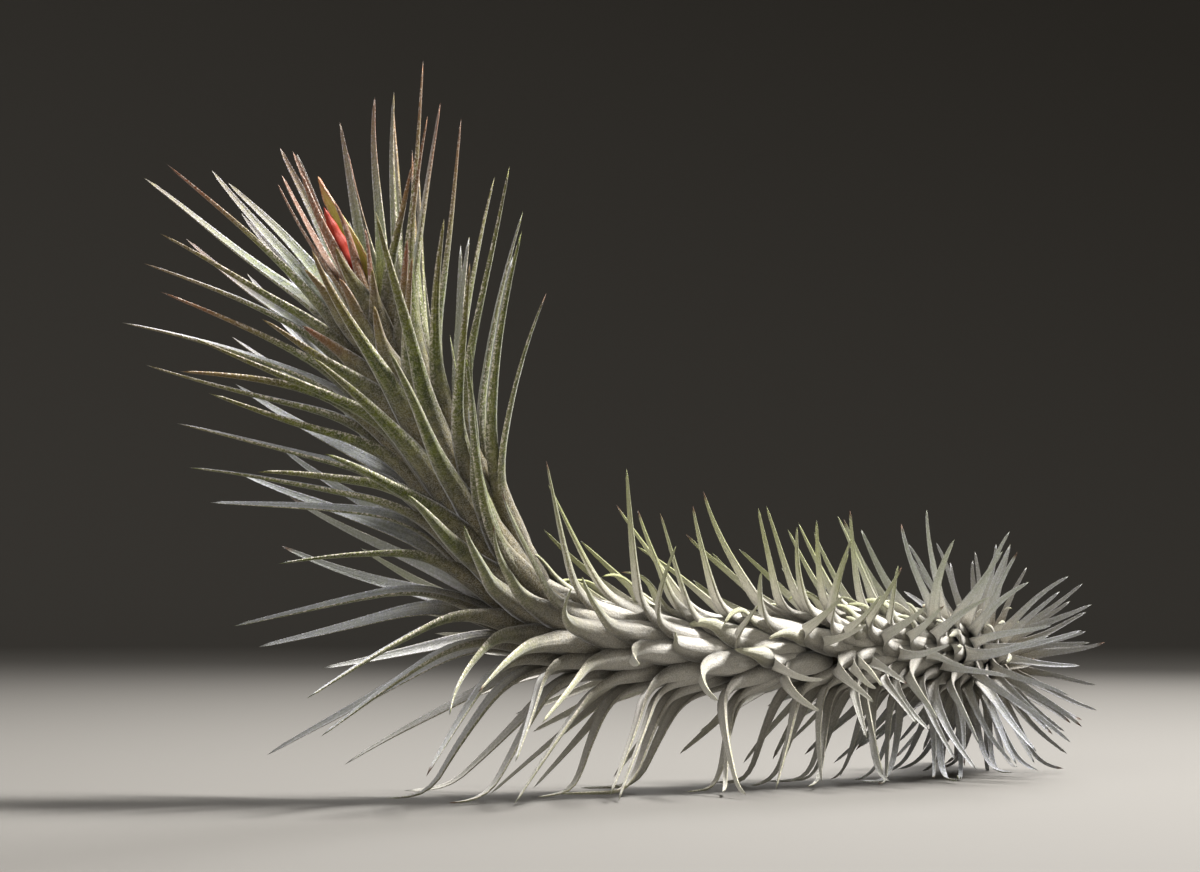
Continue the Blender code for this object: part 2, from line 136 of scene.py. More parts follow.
# The leaves that lie on the surface, and the three among them that carry the plant.
LIES_UNDER = -0.93
LYING_LENGTH = 1.08
LYING_SPREAD_DEG = 9
REST_MM = 0.35  # height of a lying leaf's middle above its floor
LANDING_MM = 5.5  # height over which it levels out
CLEAR_MM = 0.3  # floor of every leaf but the three
LOW_TIP_MM = 3 * CLEAR_MM  # the three are chosen among the leaves whose tips end lower than this
PROPS_MM = ((-47, 21), (-20, -21), (68, -8))  # where the three touch the surface, round the plant's weight
PROP_SPREAD_DEG = 12
CLOSE_AT_MOST_DEG = 60  # how far a leaf's spread may close to keep it off its floor
CLOSING_TRIES = 14

# Slimmer leaves that crowd the old part between the first ones, as further spirals:
# (degrees from the first spiral, start in mm from the old end, end as a share of the stem)
CROWDS = ((-16.5, 5.1, 0.56), (26.2, 3.9, 0.38), (-42.5, 3.2, 0.38))
CROWD_WIDTH = 0.8
CROWD_ALL_ROUND = 0.34  # past this share of the stem only some stand on its lower side
CROWD_BELOW = 0.35

# ---- the shape of a leaf -----------------------------------------------------------------------------------
LEAF_STEPS = 24  # straight steps in a leaf's midline
LEAF_SIDES = 12
LEAF_RINGS = 28
RING_CROWDING = 1.15  # over 1 sets the rings closer towards the root
TIP_WIDTH_MM = 0.35
TIP_THICK_MM = 0.3
THICK_SHARE = 0.5  # thickness as a share of the width
ROOT_SHARE = 0.6  # width of a sheath at its root, of the width where it swells
HEEL_SHARE = 0.16  # share of a sheath's length over which its bottom is rounded off
HEEL_WIDTH = 0.25  # width at the very bottom, of the width there without rounding
SWELL_LOW = 0.75  # under 1 sets the widest place nearer to the root
SHOULDER_FALL = 2.3  # how soon the neck's shoulders narrow into the blade
SHOULDER_HOLLOW = 1.5  # over 1 draws the shoulders' outline in
BLADE_TAPER = 0.85  # under 1 keeps the blade wide for longer
SHEATH_CURL = 0.22  # how far the edges curl up, as a share of the width
BLADE_CURL = 0.20
INNER_BULGE = 0.30  # how far the inner face bulges, of what the outer one does
WAVE_MM = 0.28
WAVE_RISE = (0, 0.4)  # along the leaf
WAVES = (7.5, 6.1)  # how fast it waves to its side and to its inner face, in radians per leaf
BLADE_RISE = (0.75, 1.1)  # where the skin of the blade takes over, in sheath lengths
LEAF_MARKS = ("along", "across", "face", "blade", "old", "share", "tint")
ROD_MARKS = ("along", "across")

# ---- the growing tip ---------------------------------------------------------------------------------------
SEAT_GAP_MM = 0.3  # between a piece and its neighbour
COLLAR_RADIUS_MM = 2.1
COLLAR_HEIGHT_MM = 3.0
COLLAR_SIDES = 24
COLLAR_RINGS = 4
HEART_ROOT_MM = 1.5  # distance of a heart leaf's root from the collar's centre
HEART_ROOT_HEIGHT_MM = 0.8
HEART_WIDTH_MM = 2.8
HEART_THICK_MM = 0.8
# (degrees round the tip, length in mm, lean at the root in degrees, lean of the blade in degrees).
# The bud shows between the first two.
HEART_LEAVES = (
    (158, 20, 8, 2),
    (222, 26, 8, -2),
    (286, 26, 10, 6),
    (318, 27, 10, 5),
    (2, 30, 10, 9),
    (130, 15, 12, 12),
)
BUD_LENGTH_MM = 17.5
BUD_RADIUS_MM = ((0, 0.9), (0.4, 1.8), (0.62, 1.45), (0.8, 0.9), (0.92, 0.42), (1, 0.05))
BUD_SIDES = 36
BUD_RINGS = 48
BUD_WRAPS = 3
WRAP_WINDING = 0.8  # how far a wrap's edge winds on from the foot to the point, in wraps
WRAP_EDGE_MM = 0.16
WRAP_END = 1.15  # over 1 ends the edges short of the point
BRACT_TURN_DEG = 62
BRACT_LENGTH_MM = 22.0
BRACT_WIDTH_MM = ((0, 1.4), (0.35, 3.5), (0.8, 2.0), (1, 0.3))
BRACT_THICK_MM = 0.6
BRACT_CURL = 0.28  # how far its edges curl towards the bud, as a share of its width
BRACT_OFF_AXIS_MM = ((0, 2.5), (0.35, 3.4), (1, 1.4))  # from the bud's axis
BRACT_SIDES = 16
BRACT_RINGS = 36

# ---- the dry old end ---------------------------------------------------------------------------------------
STUB_LENGTH_MM = 6.5
STUB_RADIUS_MM = 2.5
STUB_SIDES = 28
STUB_RINGS = 24
STUB_END_SHARE = 0.7  # radius at its cut end, of its radius further on
STUB_SHRINK_MM = 0.22  # keeps the flutes inside the radius
FLUTES_MM = ((0.12, 9, 5), (0.1, 5, -11))  # (depth, flutes round the stub, how far they wind)
WITHERED_LEAVES = 7
WITHERED_LENGTH_MM = 7.5
WITHERED_WIDTH_MM = 2.6
WITHERED_THICK_MM = 0.6
WITHERED_CLASP_DEG = 24
WITHERED_SPREAD_DEG = 62
WITHERED_SPREAD_VARIES_DEG = 12
WITHERED_FIRST_MM = 0.5  # the first one's root, from the stub's cut end
WITHERED_STEP_MM = 0.25


def rise(x, start, span):
    """0 up to the start, 1 from the end of the span, and an S-curve between."""
    x = min(max((x - start) / span, 0.0), 1.0)
    return x * x * (3.0 - 2.0 * x)


def along(stops, x):
    """The value of a rule at x, blended smoothly between its stops."""
    for (x0, y0), (x1, y1) in zip(stops, stops[1:]):
        if x <= x1:
            return y0 + (y1 - y0) * rise(x, x0, x1 - x0)
    return stops[-1][1]


class Stem:
    """The stem's centre line, as a smooth curve measured in millimetres from its old end."""

    def __init__(self, route):
        knots = [Vector(point) for point in route]
        knots = [2 * knots[0] - knots[1], *knots, 2 * knots[-1] - knots[-2]]
        self.points = []
        for a, b, c, d in zip(knots, knots[1:], knots[2:], knots[3:]):
            for step in range(SPLINE_STEPS):
                t = step / SPLINE_STEPS
                bend = (2 * a - 5 * b + 4 * c - d) * t * t + (3 * b - a - 3 * c + d) * t**3
                self.points.append(0.5 * (2 * b + (c - a) * t + bend))
        self.points.append(knots[-2])
        self.reach = [0.0]
        for before, after in zip(self.points, self.points[1:]):
            self.reach.append(self.reach[-1] + (after - before).length)
        self.length = self.reach[-1]

    def point(self, distance):
        distance = min(max(distance, 0.0), self.length)
        last = len(self.reach) - 2
        low = next((i for i in range(last + 1) if self.reach[i + 1] >= distance), last)
        share = (distance - self.reach[low]) / (self.reach[low + 1] - self.reach[low])
        return self.points[low].lerp(self.points[low + 1], share)

    def frame(self, distance):
        """(towards the growing tip, level across the stem, square to both and upwards)."""
        grow = (self.point(distance + AIM_REACH_MM) - self.point(distance - AIM_REACH_MM)).normalized()
        across = grow.cross(Vector((0, 0, 1))).normalized()
        return grow, across, across.cross(grow)


# ---- a leaf's midline --------------------------------------------------------------------------------------
def leaf_midline(root, grow, out, habit):
    """Points and directions of a leaf's midline: it clasps the stem, then bends out into its blade."""
    across = grow.cross(out)
    point = root.copy()
    step = habit["length"] / LEAF_STEPS
    points, directions = [point.copy()], []
    for number in range(LEAF_STEPS):
        u = (number + 0.5) / LEAF_STEPS
        opened = rise(u / habit["sheath"], *habit["bend"])
        angle = habit["clasp"] + (habit["spread"] - habit["clasp"]) * opened
        recurved = habit["recurve"] * max(0.0, u - RECURVE_FROM) / (1 - RECURVE_FROM)
        angle += recurved + habit["hook"] * rise(u, *HOOK_RISE)
        aim = math.cos(angle) * grow + math.sin(angle) * out + habit["sway"] * u * across
        aim.z += habit["lift"] * max(0.0, u - habit["sheath"])
        aim.normalize()
        if habit["lies"]:
            aim.z = max(aim.z, (habit["floor"] + REST_MM - point.z) / LANDING_MM)
            aim.normalize()
        point = point + aim * step
        points.append(point.copy())
        directions.append(aim)
    directions.append(directions[-1])
    return points, directions, across


def settled_midline(root, grow, out, habit):
    """The midline with its spread closed just enough that no point is under the leaf's floor."""
    line = leaf_midline(root, grow, out, habit)
    if habit["lies"] or min(point.z for point in line[0]) >= habit["floor"]:
        return line
    closed, opened = habit["spread"] - math.radians(CLOSE_AT_MOST_DEG), habit["spread"]
    for _ in range(CLOSING_TRIES):
        habit["spread"] = (closed + opened) / 2
        line = leaf_midline(root, grow, out, habit)
        if min(point.z for point in line[0]) >= habit["floor"]:
            closed = habit["spread"]
        else:
            opened = habit["spread"]
    habit["spread"] = closed
    return leaf_midline(root, grow, out, habit)


def leaf_habit(share, out, draw):
    """How a leaf grows, from its place along the stem, the way it faces and seven draws from -1 to 1."""
    upward = out.z
    old = 1.0 - rise(share, *OLD_FADE)
    open_wide = rise(share, *OPEN_RISE) * rise(out.dot(OPEN_SIDE), *OPEN_FACING_RISE)
    hooked = old > OLD_ENOUGH and draw[5] > HOOK_OVER and upward > HOOK_FACES_OVER
    lies = old > OLD_ENOUGH and upward < LIES_UNDER
    length = along(LENGTH_MM, share) * (1 + LENGTH_VARIES * draw[0]) * (1 - OPEN_LENGTH_LOSS * open_wide)
    if hooked:
        length *= HOOKED_LENGTH
    if lies:
        length *= LYING_LENGTH
    spread = along(SPREAD_DEG, share) + SPREAD_VARIES_DEG * draw[1] - UPPER_SPREAD_LOSS_DEG * max(0.0, upward)
    spread = spread + LYING_SPREAD_DEG * lies + OPEN_SPREAD_DEG * open_wide
    lift = LOWER_LIFT
    if upward > UPPER_FACES_OVER:
        lift = UPPER_LIFT - OLD_LIFT_LOSS * old
    elif share > HEAD_LIFT_FROM:
        lift = HEAD_LIFT
    return {
        "length": length,
        "sheath": along(SHEATH_MM, share) / length,
        "sheath_width": along(SHEATH_WIDTH_MM, share),
        "neck": along(NECK_SHARE, share),
        "blade_width": along(BLADE_WIDTH_MM, share),
        "bend": (along(BEND_START, share), along(BEND_SPAN, share)),
        "clasp": math.radians(along(CLASP_DEG, share)),
        "spread": math.radians(spread),
        "recurve": math.radians(RECURVE_DEG + RECURVE_VARIES_DEG * draw[2]),
        "hook": -math.radians(HOOK_DEG + HOOK_VARIES_DEG * abs(draw[6])) if hooked else 0.0,
        "sway": math.radians((SWAY_DEG + OLD_SWAY_DEG * old) * draw[3]),
        "lift": lift,
        "twist": math.radians(TWIST_DEG * draw[4]),
        "lies": lies,
        "floor": CLEAR_MM,
        "thick": THICK_SHARE,
        "old": old,
        "share": share,
    }


def carry_plant(leaves):
    """Lets the low leaves whose tips end nearest to the three props down to lie on the surface itself."""
    low = [number for number, leaf in enumerate(leaves) if leaf[0][-1].z < LOW_TIP_MM]
    for x, y in PROPS_MM:
        number = min(low, key=lambda number: (leaves[number][0][-1].xy - Vector((x, y))).length)
        habit = leaves[number][3]
        habit["floor"] = 0.0
        habit["lies"] = True
        habit["spread"] += math.radians(PROP_SPREAD_DEG)
        leaves[number] = (*settled_midline(*habit["seat"], habit), habit)


def grow_leaves(stem, rng, first_turn, distance, until):
    """A spiral of leaves along the stem as (midline points, directions, across, habit), oldest first."""
    leaves = []
    while distance < until:
        share = distance / stem.length
        turn = first_turn + len(leaves) * GOLDEN_ANGLE
        draw = [rng.uniform(-1, 1) for _ in range(7)]
        grow, across, up = stem.frame(distance)
        out = math.cos(turn) * across + math.sin(turn) * up
        habit = leaf_habit(share, out, draw)
        habit["seat"] = (stem.point(distance) + out * along(ROOT_DEPTH_MM, share), grow, out)
        leaves.append((*settled_midline(*habit["seat"], habit), habit))
        distance += along(INTERNODE_MM, share)
    return leaves


def plain_habit(length, width, thick, clasp, spread):
    """A leaf without the stem leaves' variations. Angles are in degrees."""
    return {
        "length": length,
        "sheath": 0.3,
        "sheath_width": width,
        "neck": 0.78,
        "blade_width": 0.75 * width,
        "bend": (0.55, 1.3),
        "clasp": math.radians(clasp),
        "spread": math.radians(spread),
        "recurve": 0.0,
        "hook": 0.0,
        "sway": 0.0,
        "lift": 0.0,
        "twist": 0.0,
        "lies": False,
        "floor": 0.0,
        "thick": thick / width,
        "old": 0.0,
        "share": 1.0,
    }


# ---- meshes ------------------------------------------------------------------------------------------------
def only(geometry, kind):
    """The vertices, edges or faces in a mixed list."""
    return [part for part in geometry if isinstance(part, kind)]


def distinct(parts):
    """Each part once, in the order they come."""
    return list(dict.fromkeys(parts))


def add_tube(bm, sides, rings, pointed):
    """Adds a closed tube round Z with one ring of vertices at each whole height, and returns its geometry."""
    before = set(bm.verts)
    made = bmesh.ops.create_circle(bm, cap_ends=True, segments=sides, radius=1.0)["verts"]
    rim = distinct(edge for vert in made for edge in vert.link_edges)
    for _ in range(rings - 1):
        made = bmesh.ops.extrude_edge_only(bm, edges=rim)["geom"]
        bmesh.ops.translate(bm, verts=only(made, bmesh.types.BMVert), vec=(0, 0, 1))
        rim = only(made, bmesh.types.BMEdge)
    if pointed:
        top = distinct(vert for edge in rim for vert in edge.verts)
        bmesh.ops.pointmerge(bm, verts=top, merge_co=(0, 0, rings - 1))
    else:
        bmesh.ops.contextual_create(bm, geom=rim)
    verts = [vert for vert in bm.verts if vert not in before]
    faces = distinct(face for vert in verts for face in vert.link_faces)
    bmesh.ops.recalc_face_normals(bm, faces=faces)
    edges = distinct(edge for vert in verts for edge in vert.link_edges)
    return verts + edges + faces


def copied(bm, geometry):
    """The vertices of a new copy of some of the mesh."""
    return only(bmesh.ops.duplicate(bm, geom=geometry)["geom"], bmesh.types.BMVert)


def new_object(name, bm, material):
    """Turns a mesh into a smooth object of one finish."""
    mesh = bpy.data.meshes.new(name)
    bm.to_mesh(mesh)
    bm.free()
    mesh.shade_smooth()
    mesh.materials.append(material)
    made = bpy.data.objects.new(name, mesh)
    bpy.context.scene.collection.objects.link(made)
    return made


def finished(name, bm, material, node):
    """Turns a mesh into a piece that stands for a node of the solids."""
    piece = new_object(name, bm, material)
    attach(piece, "root")
    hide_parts(node)


def at_share(items, u):
    """The vector at a share u of the way through a list of vectors."""
    place = min(max(u, 0.0), 1.0) * (len(items) - 1)
    low = min(int(place), len(items) - 2)
    return items[low].lerp(items[low + 1], place - low)


def leaf_section(u, habit):
    """(width, thickness, how far the edges curl up) of a leaf at a share u of its length."""
    sheath, sheath_width, blade_width = habit["sheath"], habit["sheath_width"], habit["blade_width"]
    if u < sheath:
        heel = max(0.0, 1 - u / (HEEL_SHARE * sheath))
        rounded = math.sqrt(1 - heel * heel)
        swell = math.sin(math.pi * (u / sheath) ** SWELL_LOW)
        end_share = ROOT_SHARE + (habit["neck"] - ROOT_SHARE) * u / sheath
        width = sheath_width * (end_share + (1 - end_share) * swell)
        width = width * (HEEL_WIDTH + (1 - HEEL_WIDTH) * rounded)
        return width, habit["thick"] * width, SHEATH_CURL * width
    v = (u - sheath) / (1 - sheath)
    shoulder = max(0.0, 1 - SHOULDER_FALL * v) ** SHOULDER_HOLLOW
    width = TIP_WIDTH_MM + (blade_width - TIP_WIDTH_MM) * (1 - v) ** BLADE_TAPER
    width += (habit["neck"] * sheath_width - blade_width) * shoulder
    return width, max(TIP_THICK_MM, habit["thick"] * width), BLADE_CURL * width


def shape_leaf(verts, rings, leaf, marks, tint, wobble):
    """Bends a blank tube into a channelled leaf along its midline and marks where each point is on it."""
    points, directions, across, habit = leaf
    ring_at = []
    for number in range(rings):
        u = (number / (rings - 1)) ** RING_CROWDING
        width, thick, curl = leaf_section(u, habit)
        aim = at_share(directions, u).normalized()
        side = (across - across.project(aim)).normalized()
        inner = aim.cross(side)
        turn = habit["twist"] * u
        side, inner = (
            math.cos(turn) * side + math.sin(turn) * inner,
            math.cos(turn) * inner - math.sin(turn) * side,
        )
        wave = WAVE_MM * rise(u, *WAVE_RISE)
        middle = at_share(points, u) + side * (wave * math.sin(WAVES[0] * u + wobble))
        middle = middle + inner * (wave * math.sin(WAVES[1] * u + 2 * wobble))
        ring_at.append((u, middle, side, inner, width, thick, curl))
    for vert in verts:
        x, y = vert.co.x, vert.co.y
        u, middle, side, inner, width, thick, curl = ring_at[round(vert.co.z)]
        bulge = INNER_BULGE if y > 0 else 1.0
        place = middle + side * (x * width / 2) + inner * (curl * x * x + y * bulge * thick / 2)
        place.z = max(place.z, habit["floor"])
        vert.co = place * MM
        vert[marks["along"]] = u
        vert[marks["across"]] = x
        vert[marks["face"]] = y
        vert[marks["blade"]] = rise(u, *(habit["sheath"] * share for share in BLADE_RISE))
        vert[marks["old"]] = habit["old"]
        vert[marks["share"]] = habit["share"]
        vert[marks["tint"]] = tint


def new_mesh(names):
    """An empty mesh whose vertices carry marks, which the finishes read to follow the surface."""
    bm = bmesh.new()
    return bm, {name: bm.verts.layers.float.new(name) for name in names}


def leaves_mesh(leaves, rng):
    """One mesh of many leaves."""
    bm, marks = new_mesh(LEAF_MARKS)
    blank = add_tube(bm, LEAF_SIDES, LEAF_RINGS, pointed=True)
    for leaf in leaves:
        shape_leaf(copied(bm, blank), LEAF_RINGS, leaf, marks, rng.random(), rng.uniform(0, 6.28))
    bmesh.ops.delete(bm, geom=only(blank, bmesh.types.BMVert), context="VERTS")
    return bm


def rod_mesh(start, aim, axes, length, radii, sides, rings, pointed, relief):
    """A rod from a start point along aim. relief(turn, share) is added to its radius."""
    bm, marks = new_mesh(ROD_MARKS)
    add_tube(bm, sides, rings, pointed)
    for vert in bm.verts:
        share = vert.co.z / (rings - 1)
        turn = math.atan2(vert.co.y, vert.co.x)
        radius = along(radii, share) + relief(turn, share)
        offset = (vert.co.x * axes[1] + vert.co.y * axes[0]) * radius
        vert[marks["along"]] = share
        vert[marks["across"]] = math.cos(turn)
        vert.co = (start + aim * (share * length) + offset) * MM
    return bm


def turned(axes, degrees):
    """The direction at an angle round a stem, from the two directions square to it."""
    angle = math.radians(degrees)
    return math.cos(angle) * axes[0] + math.sin(angle) * axes[1]


# ---- finishes ----------------------------------------------------------------------------------------------
MIX_SHARE, MIX_FIRST, MIX_SECOND, MIX_RESULT = 0, 6, 7, 2  # the sockets of a Mix node that mixes colours
SHEEN_ROUGHNESS = 0.35
COAT_ROUGHNESS = 0.3
SKIN_IOR = 1.4
RELIEF_STRENGTH = 0.8
FRESH_HEIGHT = (0.024, 0.034)  # metres above the surface between which old blades turn fresh green


class Wire:
    """The output of a shader node. Arithmetic on it adds the Math nodes that work it out."""

    def __init__(self, tree, socket):
        self.tree = tree
        self.socket = socket

    def maths(self, operation, *values):
        return node(self.tree, "ShaderNodeMath", {"operation": operation}, dict(enumerate(values)))

    def __add__(self, other):
        return self.maths("ADD", self, other)

    def __sub__(self, other):
        return self.maths("SUBTRACT", self, other)

    def __rsub__(self, other):
        return self.maths("SUBTRACT", other, self)

    def __mul__(self, other):
        return self.maths("MULTIPLY", self, other)

    def __pow__(self, other):
        return self.maths("POWER", self, other)

    __radd__ = __add__
    __rmul__ = __mul__

    def size(self):
        return self.maths("ABSOLUTE", self)

    def limited(self):
        return node(self.tree, "ShaderNodeClamp", {}, {"Value": self})

    def between(self, low, high):
        """0 below low, 1 above high and smooth between."""
        settings = {"interpolation_type": "SMOOTHSTEP"}
        inputs = {"Value": self, "From Min": low, "From Max": high}
        return node(self.tree, "ShaderNodeMapRange", settings, inputs)


def node(tree, kind, settings, inputs, output=0):
    """Adds a shader node: its settings first, then the values or wires of its sockets. Returns one output."""
    made = tree.nodes.new(kind)
    for name, value in settings.items():
        setattr(made, name, value)
    for name, value in inputs.items():
        if isinstance(value, Wire):
            tree.links.new(value.socket, made.inputs[name])
        else:
            made.inputs[name].default_value = value
    return Wire(tree, made.outputs[output])


def tone(red, green, blue):
    """A colour from its 0 to 255 screen values."""

    def linear(value):
        if value <= 10:
            return value / 255 / 12.92
        return ((value / 255 + 0.055) / 1.055) ** 2.4

    return (linear(red), linear(green), linear(blue), 1.0)


def mix(tree, share, first, second):
    """A colour that goes from the first to the second with share."""
    inputs = {MIX_SHARE: share, MIX_FIRST: first, MIX_SECOND: second}
    return node(tree, "ShaderNodeMix", {"data_type": "RGBA"}, inputs, MIX_RESULT)


def mark(tree, name):
    """What one of the mesh's marks says at each point."""
    return node(tree, "ShaderNodeAttribute", {"attribute_name": name}, {}, "Fac")


def place_in_metres(tree):
    return node(tree, "ShaderNodeTexCoord", {}, {}, "Object")


def place_of(tree, x, y, z):
    return node(tree, "ShaderNodeCombineXYZ", {}, {0: x, 1: y, 2: z})


def grain(tree, place, scale, detail, roughness=0.5):
    """Uneven noise between 0 and 1."""
    inputs = {"Vector": place, "Scale": scale, "Detail": detail, "Roughness": roughness}
    return node(tree, "ShaderNodeTexNoise", {}, inputs)


def leaf_scales(tree, spot):
    """1 on the fine pale scales that the leaves and the bract bear, and 0 between them."""
    return grain(tree, spot, 2900, 2, 0.6).between(0.51, 0.57)


def leaf_ridges(tree, u, x, tint):
    """Lengthwise ridges that differ from leaf to leaf."""
    return grain(tree, place_of(tree, x * 5 + tint * 40, u * 3, tint * 17), 1, 3)


def inner_side(face):
    """1 on a leaf's hollow side and 0 on its back."""
    return face.between(-0.1, 0.3)


def new_finish(name, sheen, coat=0.0):
    """A material and its shader tree. What is the same all over is set on the shader itself."""
    material = bpy.data.materials.new(name)
    material.use_nodes = True
    tree = material.node_tree
    shader = tree.nodes["Principled BSDF"]
    shader.inputs["Metallic"].default_value = 0.0
    shader.inputs["Sheen Weight"].default_value = sheen
    shader.inputs["Sheen Roughness"].default_value = SHEEN_ROUGHNESS
    shader.inputs["Coat Weight"].default_value = coat
    shader.inputs["Coat Roughness"].default_value = COAT_ROUGHNESS
    shader.inputs["IOR"].default_value = SKIN_IOR
    return material, tree, shader


def finish_with(tree, shader, colour, roughness, height, depth):
    """Feeds the shader its colour, roughness and relief, depth metres deep."""
    inputs = {"Strength": RELIEF_STRENGTH, "Distance": depth, "Height": height}
    bump = node(tree, "ShaderNodeBump", {}, inputs)
    tree.links.new(colour.socket, shader.inputs["Base Color"])
    tree.links.new(roughness.socket, shader.inputs["Roughness"])
    tree.links.new(bump.socket, shader.inputs["Normal"])


def leaf_finish():
    """Olive-green blades and taupe sheaths, frosted with pale scales and flushed at the tips of the head."""
    material, tree, shader = new_finish("frosted leaf", sheen=0.5)
    spot = place_in_metres(tree)
    u, x, tint = mark(tree, "along"), mark(tree, "across"), mark(tree, "tint")
    blade, old, share = mark(tree, "blade"), mark(tree, "old"), mark(tree, "share")
    scales = leaf_scales(tree, spot)
    ridges = leaf_ridges(tree, u, x, tint)
    inside = inner_side(mark(tree, "face"))
    clouds = grain(tree, spot, 700, 3)
    margin = x.size() ** 5

    green = mix(tree, clouds.between(0.35, 0.7), tone(60, 72, 16), tone(108, 118, 40))
    green = mix(tree, ridges.between(0.35, 0.7) * 0.5, green, tone(138, 140, 62))
    bluish = (inside * (1 - 0.6 * old) + 0.6 * (1 - share.between(0.15, 0.42))).limited()
    frost = mix(tree, bluish, tone(240, 230, 216), tone(214, 216, 232))
    specks = scales * (0.16 + 0.84 * margin)
    powder = 0.24 * old * share.between(0.1, 0.4) + 0.1 * old
    silver = inside * (0.5 - 0.3 * share.between(0.86, 0.97))
    streaks = (0.35 + 0.4 * inside) * (ridges - 0.55)
    # Edge whitening: partly the pale scales, partly a painted highlight where the edges catch light.
    cover = (powder + silver + 0.25 * margin + 0.95 * specks + streaks).limited()
    leaf = mix(tree, cover, green, frost)

    husk = mix(tree, clouds.between(0.3, 0.7), tone(72, 64, 34), tone(114, 102, 62))
    dust = grain(tree, spot, 5200, 2, 0.6).between(0.40, 0.62)
    white = old * (0.34 + 0.24 * share.between(0.04, 0.22))
    husk = mix(tree, (white + 0.28 * dust).limited(), husk, tone(228, 225, 218))
    # Painted shade: the sheaths darken towards their edges, where they tuck under their neighbours.
    husk = mix(tree, x.size().between(0.55, 0.95) * (0.75 - 0.15 * old), husk, tone(50, 43, 28))

    colour = mix(tree, blade, husk, leaf)
    aged = 1 - share.between(0.02, 0.24)
    colour = mix(tree, 0.42 * aged, colour, tone(108, 96, 72))
    # Painted shade: every leaf darkens towards its root, where it sits deep among the others.
    colour = mix(tree, 0.65 - 0.65 * u.between(0.04, 0.2), colour, tone(40, 34, 20))
    flush = u.between(0.5, 0.98) * share.between(0.74, 0.94) * (0.4 + 0.6 * tint.between(0.2, 0.9))
    colour = mix(tree, flush * (0.9 - 0.4 * inside) * (1 - 0.6 * specks), colour, tone(150, 88, 64))
    above = node(tree, "ShaderNodeSeparateXYZ", {}, {0: spot}, "Z").between(*FRESH_HEIGHT)
    fresh = u.between(0.35, 0.85) * old * share.between(0.1, 0.35) * (0.3 + 0.7 * above)
    colour = mix(tree, fresh * 0.72, colour, tone(136, 144, 66))
    dry = u.between(0.93, 0.985) * tint.between(0.80, 0.84)
    colour = mix(tree, dry, colour, tone(104, 74, 52))
    finish_with(tree, shader, colour, 0.62 + 0.2 * scales, scales * 0.7 + ridges * 0.7, 0.0002)
    return material


def core_finish():
    """Dull fibrous stem that shows only in the gaps between the sheaths."""
    material, tree, shader = new_finish("shaded stem", sheen=0.1)
    spot = place_in_metres(tree)
    fibres = grain(tree, spot, 1500, 4)
    colour = mix(tree, fibres.between(0.3, 0.7), tone(84, 74, 58), tone(132, 120, 98))
    finish_with(tree, shader, colour, 0.8 + 0.1 * fibres, fibres, 0.0002)
    return material


def heart_finish():
    """Rosy young leaves with pale scales, thickest along their edges."""
    material, tree, shader = new_finish("rose-flushed leaf", sheen=0.3)
    spot = place_in_metres(tree)
    u, x, tint = mark(tree, "along"), mark(tree, "across"), mark(tree, "tint")
    scales = leaf_scales(tree, spot)
    ridges = leaf_ridges(tree, u, x, tint)
    inside = inner_side(mark(tree, "face"))
    base = mix(tree, u.between(0.1, 0.6), tone(104, 100, 54), tone(128, 88, 64))
    base = mix(tree, ridges.between(0.4, 0.7) * 0.4, base, tone(168, 120, 94))
    margin = x.size() ** 6
    specks = scales * (0.3 + 0.7 * margin)
    cover = 0.10 * inside + 0.15 * margin + 0.85 * specks
    colour = mix(tree, cover.limited(), base, tone(230, 216, 206))
    finish_with(tree, shader, colour, 0.6 + 0.2 * scales, scales * 0.7 + ridges, 0.00016)
    return material


def bud_finish():
    """Satin red-orange wraps, darker towards the foot, with fine lengthwise veins."""
    material, tree, shader = new_finish("red bud", sheen=0.15, coat=0.05)
    u, turn = mark(tree, "along"), mark(tree, "across")
    spot = place_in_metres(tree)
    veins = grain(tree, place_of(tree, turn * 12, u * 2, 0.0), 1, 3)
    colour = mix(tree, u.between(0.05, 0.6), tone(84, 18, 10), tone(158, 42, 22))
    colour = mix(tree, veins.between(0.45, 0.75) * 0.5, colour, tone(184, 78, 48))
    fine = grain(tree, spot, 3000, 2)
    finish_with(tree, shader, colour, 0.42 + 0.15 * fine, veins + 0.3 * fine, 0.00008)
    return material


def bract_finish():
    """Yellow-green boat with an orange-brown rim and tip."""
    material, tree, shader = new_finish("yellow-green bract", sheen=0.15)
    u, x = mark(tree, "along"), mark(tree, "across")
    spot = place_in_metres(tree)
    veins = grain(tree, place_of(tree, x * 8, u * 2, 0.0), 1, 3)
    scales = leaf_scales(tree, spot)
    colour = mix(tree, veins.between(0.35, 0.7), tone(196, 208, 78), tone(218, 224, 120))
    margin = x.size() ** 6
    rim = (margin * 0.8 + u.between(0.55, 1.0) * 0.9).limited()
    colour = mix(tree, rim, colour, tone(164, 102, 72))
    colour = mix(tree, scales * (0.12 + 0.6 * margin), colour, tone(236, 222, 208))
    finish_with(tree, shader, colour, 0.5 + 0.2 * scales, veins + 0.4 * scales, 0.00008)
    return material


def dry_finish():
    """Dead brown stem and papery withered leaves."""
    material, tree, shader = new_finish("dry stem", sheen=0.15)
    spot = place_in_metres(tree)
    fibres = grain(tree, spot, 1200, 5, 0.65)
    patches = grain(tree, spot, 300, 2)
    colour = mix(tree, fibres.between(0.3, 0.7), tone(70, 50, 34), tone(140, 112, 84))
    colour = mix(tree, patches.between(0.5, 0.75) * 0.7, colour, tone(176, 156, 130))
    finish_with(tree, shader, colour, 0.8 + 0.1 * fibres, fibres, 0.0003)
    return material


